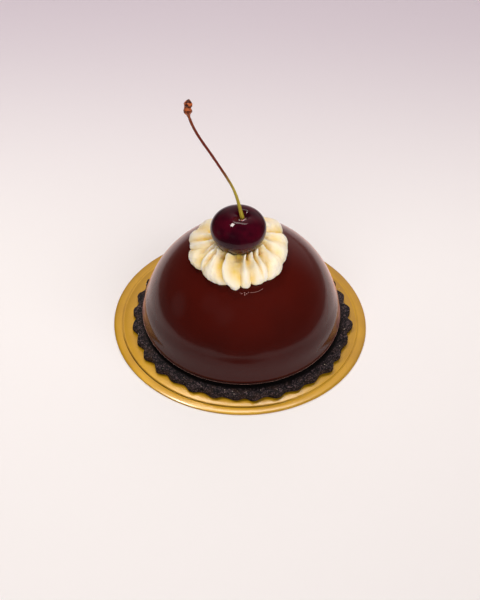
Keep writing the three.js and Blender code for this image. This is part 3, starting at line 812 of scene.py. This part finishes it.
# ---------------------------------------------------------------------------------------------
# Stem: the cherry's own stalk, grown from its dimple. It leans to the left and back, green at the
# foot, brown above, and ends in the lumpy knob by which it hung on its spur.
# ---------------------------------------------------------------------------------------------
STEM_LEAN_BACK = radians(20)
STEM_ROUTE = np.array([[0, 0], [-3.4, 10.9], [-9.7, 20.9], [-17.5, 32.3], [-20.8, 39.8], [-20.6, 44.9]]) * MM
STEM_RADIUS = 0.48 * MM
STEM_FOOT_RADIUS = 0.8 * MM
STEM_FOOT_SHARE = 0.3
KNOB_START = 0.868
KNOB_RADIUS = 1.75 * MM
STEM_ROWS = 260
STEM_COLUMNS = 28
STEM_SINK = 0.3 * MM

STEM_GREEN = "A8942F"
STEM_BROWN = "6A2416"
STEM_RUST = "B85E30"
STEM_DENT_SHADE = "431A10"
STEM_MOTTLE = 1.2 * MM

# The route is a smooth curve through its points: between two of them it is the cubic that leaves each
# point parallel to the line between its neighbours.
stem_foot = on_cherry(np.array(DIMPLE_LATITUDE), np.array(DIMPLE_TURN), -STEM_SINK)
steps = np.linspace(0, 1, 60)[:, None]
before_foot = 2 * STEM_ROUTE[0] - STEM_ROUTE[1]
past_knob = 2 * STEM_ROUTE[-1] - STEM_ROUTE[-2]
spans = np.concatenate([[before_foot], STEM_ROUTE, [past_knob]])
flat = np.concatenate([
    0.5 * (2 * b + (c - a) * steps + (2 * a - 5 * b + 4 * c - d) * steps ** 2
           + (3 * b - a - 3 * c + d) * steps ** 3)
    for a, b, c, d in zip(spans, spans[1:], spans[2:], spans[3:])
])
stem_up = np.array([0, sin(STEM_LEAN_BACK), cos(STEM_LEAN_BACK)])
line = stem_foot + flat[:, :1] * np.array([1, 0, 0]) + flat[:, 1:] * stem_up
length = np.append(0, np.cumsum(np.linalg.norm(np.diff(line, axis=0), axis=1)))
share = np.linspace(0, 1, STEM_ROWS) ** 0.85
middle = np.stack([np.interp(share * length[-1], length, line[:, axis]) for axis in range(3)], axis=-1)
ahead = np.gradient(middle, axis=0)
ahead /= np.linalg.norm(ahead, axis=1, keepdims=True)
normal = np.cross([1, 0, 0], stem_up)
across = np.cross(ahead, normal)
across /= np.linalg.norm(across, axis=1, keepdims=True)
over = np.cross(ahead, across)
turn = np.linspace(0, 2 * pi, STEM_COLUMNS, endpoint=False)
share = share[:, None]
# Thick at the foot, slender above, with two swellings that make the knob and shallow ribs along it.
knob = np.clip((share - KNOB_START) / (1 - KNOB_START), 0, 1)
swelling = 0.78 * np.exp(-((knob - 0.33) / 0.2) ** 2) + np.exp(-((knob - 0.72) / 0.2) ** 2)
swelling *= (knob > 0) * np.sin(pi * np.clip(knob, 0, 1) ** 0.9) ** 0.35
stalk = STEM_RADIUS + (STEM_FOOT_RADIUS - STEM_RADIUS) * np.clip(1 - share / STEM_FOOT_SHARE, 0, 1) ** 2
ribs = 1 + 0.06 * np.cos(5 * turn + 9 * share) + 0.04 * np.cos(8 * turn - 5 * share)
tip = np.sqrt(np.clip((1 - share) / 0.01, 0.05, 1))
stem_radius = stalk * ribs * tip + (KNOB_RADIUS - STEM_RADIUS) * swelling
stem_rings = middle[:, None] + stem_radius[..., None] * (
    np.cos(turn)[:, None] * across[:, None] + np.sin(turn)[:, None] * over[:, None]
)
bark = 0.03 * MM * lumps(stem_rings, 0.9 * MM, 61) + 0.55 * MM * swelling * lumps(stem_rings, 1.15 * MM, 62)
stem_rings += outward(stem_rings) * bark[..., None]

# Cherry stalk: fresh plant skin, dull, that turns from yellow green to brown and rust along its length.
stalk_skin, tree = surface("fresh cherry stalk")
place = add(tree, "TexCoord").outputs["Object"]
way = add(tree, "Attribute", attribute_name="along").outputs["Fac"]
mottle = add(tree, "TexNoise", {"Vector": place, "Scale": 1 / STEM_MOTTLE, "Detail": 4.0}).outputs[0]
shift = add(tree, "MapRange", {"Value": mottle, "To Min": -0.1, "To Max": 0.1}).outputs[0]
way = add(tree, "Math", {0: way, 1: shift}, operation="ADD").outputs[0]
browning = add(tree, "MapRange", {"Value": way, "From Min": 0.2, "From Max": 0.42},
               interpolation_type="SMOOTHSTEP").outputs[0]
rusting = add(tree, "MapRange", {"Value": way, "From Min": 0.72, "From Max": 0.95},
              interpolation_type="SMOOTHSTEP").outputs[0]
brown = add(tree, "Mix", {0: browning, 6: linear(STEM_GREEN), 7: linear(STEM_BROWN)}, data_type="RGBA")
rust = add(tree, "Mix", {0: rusting, 6: brown.outputs[2], 7: linear(STEM_RUST)}, data_type="RGBA")
# Painted shade: near the knob, the dents of the bumpy skin are painted dark.
dent_shade = add(tree, "MapRange", {"Value": mottle, "From Min": 0.56, "From Max": 0.46}).outputs[0]
dent_shade = add(tree, "Math", {0: dent_shade, 1: rusting}, operation="MULTIPLY").outputs[0]
rust = add(tree, "Mix", {0: dent_shade, 6: rust.outputs[2], 7: linear(STEM_DENT_SHADE)}, data_type="RGBA")
bump = add(tree, "Bump", {"Height": mottle, "Strength": 0.4, "Distance": 0.05 * MM})
plant = add(tree, "BsdfPrincipled", {
    "Base Color": rust.outputs[2], "Roughness": 0.38, "IOR": 1.45, "Normal": bump.outputs[0],
})
add(tree, "OutputMaterial", {"Surface": plant.outputs[0]})

stem = closed_skin("cherry_stalk", stem_rings, along=share)
stem.data.materials.append(stalk_skin)
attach(stem, "root")
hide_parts("cherry_stem")

# ---------------------------------------------------------------------------------------------
# Table and light: a pale table top that darkens outside the pool of light, a small softbox nearly
# overhead on the left, a weaker strip light behind it and a wide soft fill from the front on the
# right. The room is dark, with a softly lit wall behind and dim lamps on the left and in front.
# ---------------------------------------------------------------------------------------------
TABLE_SIZE = 8.0
TABLE_NEAR = "F2F0F2"
TABLE_FAR_SHADE = "C9BFCB"
TABLE_DARK = "6A6264"
TABLE_FAR_FROM = 0.01
TABLE_FAR_TO = 0.26
POOL_SIDE = 0.100
POOL_FRONT = 0.160
POOL_WIDENING = 0.11
POOL_FADE = 0.04
KEY_DIRECTION = Vector((-0.28, 0.17, 0.93))
KEY_DISTANCE = 0.65
KEY_SIZE = (0.13, 0.08)
KEY_POWER = 1.35
KEY_COLOUR = "FFF8F0"
STRIP_DIRECTION = Vector((0.04, 0.37, 0.93))
STRIP_SIZE = (0.29, 0.12)
STRIP_POWER = 0.75
FILL_DIRECTION = Vector((0.32, -0.85, 0.6))
FILL_ANGLE = radians(100)
FILL_POWER = 3.0
FILL_COLOUR = "FFFAF5"
ROOM_DARK = 0.05
WALL_GLOW = (0.53, 0.42, 0.425, 1)
WALL_LEFT = radians(-22)
WALL_RIGHT = radians(48)
WALL_FADE = radians(22)
LAMPS = (
    (radians(-94), radians(10), 0.24),
    (radians(-128), radians(41), 0.13),
    (radians(-155), radians(37), 0.15),
)
LAMP_SPREAD = radians(15)

corner = TABLE_SIZE / 2
table_mesh = bpy.data.meshes.new("table")
table_mesh.from_pydata(
    [(-corner, -corner, -0.02 * MM), (corner, -corner, -0.02 * MM),
     (corner, corner, -0.02 * MM), (-corner, corner, -0.02 * MM)], [], [(0, 1, 2, 3)])
table = in_scene("table", table_mesh)
lacquer, tree = surface("pale lacquered table")
place = add(tree, "TexCoord").outputs["Object"]
place = add(tree, "SeparateXYZ", {0: place}).outputs
# Painted light falloff: the table is painted darker towards the back, and dark outside the pool of light.
back_falloff = add(tree, "MapRange", {"Value": place[1], "From Min": TABLE_FAR_FROM, "From Max": TABLE_FAR_TO},
          interpolation_type="SMOOTHSTEP").outputs[0]
aside = add(tree, "Math", {0: place[0]}, operation="ABSOLUTE").outputs[0]
aside = add(tree, "Math", {0: place[1], 1: -POOL_WIDENING, 2: aside}, operation="MULTIPLY_ADD").outputs[0]
aside = add(tree, "MapRange", {"Value": aside, "From Min": POOL_SIDE, "From Max": POOL_SIDE + POOL_FADE},
            interpolation_type="SMOOTHSTEP").outputs[0]
before = add(tree, "MapRange", {"Value": place[1], "From Min": -POOL_FRONT,
                                "From Max": -POOL_FRONT - POOL_FADE},
             interpolation_type="SMOOTHSTEP").outputs[0]
unlit = add(tree, "Math", {0: aside, 1: before}, operation="MAXIMUM").outputs[0]
pale = add(tree, "Mix", {0: back_falloff, 6: linear(TABLE_NEAR), 7: linear(TABLE_FAR_SHADE)}, data_type="RGBA")
pooled = add(tree, "Mix", {0: unlit, 6: pale.outputs[2], 7: linear(TABLE_DARK)}, data_type="RGBA")
paint = add(tree, "BsdfPrincipled", {"Base Color": pooled.outputs[2], "Roughness": 0.55})
add(tree, "OutputMaterial", {"Surface": paint.outputs[0]})
table_mesh.materials.append(lacquer)


def light(name, kind, direction, power, colour):
    """A light of a kind that shines on the cake from a direction, at the key's distance."""
    made = in_scene(name, bpy.data.lights.new(name, kind))
    made.data.energy = power
    made.data.color = linear(colour)[:3]
    made.location = direction.normalized() * KEY_DISTANCE + Vector((0, 0, 30 * MM))
    made.rotation_euler = direction.to_track_quat("Z", "Y").to_euler()
    return made


key = light("softbox", "AREA", KEY_DIRECTION, KEY_POWER, KEY_COLOUR)
key.data.shape = "RECTANGLE"
key.data.size, key.data.size_y = KEY_SIZE
strip = light("strip light", "AREA", STRIP_DIRECTION, STRIP_POWER, KEY_COLOUR)
strip.data.shape = "RECTANGLE"
strip.data.size, strip.data.size_y = STRIP_SIZE
fill = light("soft fill", "SUN", FILL_DIRECTION, FILL_POWER, FILL_COLOUR)
fill.data.angle = FILL_ANGLE
fill.visible_glossy = False

room = bpy.data.worlds.new("room")
bpy.context.scene.world = room
room.use_nodes = True
tree = room.node_tree
tree.nodes.clear()
way = add(tree, "TexCoord").outputs["Generated"]
part = add(tree, "SeparateXYZ", {0: way}).outputs
round_back = add(tree, "Math", {0: part[0], 1: part[1]}, operation="ARCTAN2").outputs[0]
from_left = add(tree, "MapRange", {"Value": round_back, "From Min": WALL_LEFT - WALL_FADE,
                                   "From Max": WALL_LEFT + WALL_FADE},
                interpolation_type="SMOOTHSTEP").outputs[0]
to_right = add(tree, "MapRange", {"Value": round_back, "From Min": WALL_RIGHT + WALL_FADE,
                                  "From Max": WALL_RIGHT - WALL_FADE},
               interpolation_type="SMOOTHSTEP").outputs[0]
lit = add(tree, "Math", {0: from_left, 1: to_right}, operation="MULTIPLY").outputs[0]
low = add(tree, "MapRange", {"Value": part[2], "From Min": 0.97, "From Max": 0.8}).outputs[0]
lit = add(tree, "Math", {0: lit, 1: low}, operation="MULTIPLY").outputs[0]
dark = (ROOM_DARK, ROOM_DARK, ROOM_DARK, 1)
glow = add(tree, "Mix", {0: lit, 6: dark, 7: WALL_GLOW}, data_type="RGBA")
air = add(tree, "Background", {"Color": glow.outputs[2], "Strength": 1.0}).outputs[0]
for azimuth, elevation, radiance in LAMPS:
    lamp_way = (sin(azimuth) * cos(elevation), cos(azimuth) * cos(elevation), sin(elevation))
    near = add(tree, "VectorMath", {0: way, 1: lamp_way}, operation="DOT_PRODUCT").outputs["Value"]
    dim = add(tree, "MapRange", {"Value": near, "From Min": cos(LAMP_SPREAD), "From Max": 1.0,
                                 "To Max": radiance}, interpolation_type="SMOOTHSTEP").outputs[0]
    lamp = add(tree, "Background", {"Strength": dim}).outputs[0]
    air = add(tree, "AddShader", {0: air, 1: lamp}).outputs[0]
add(tree, "OutputWorld", {"Surface": air})
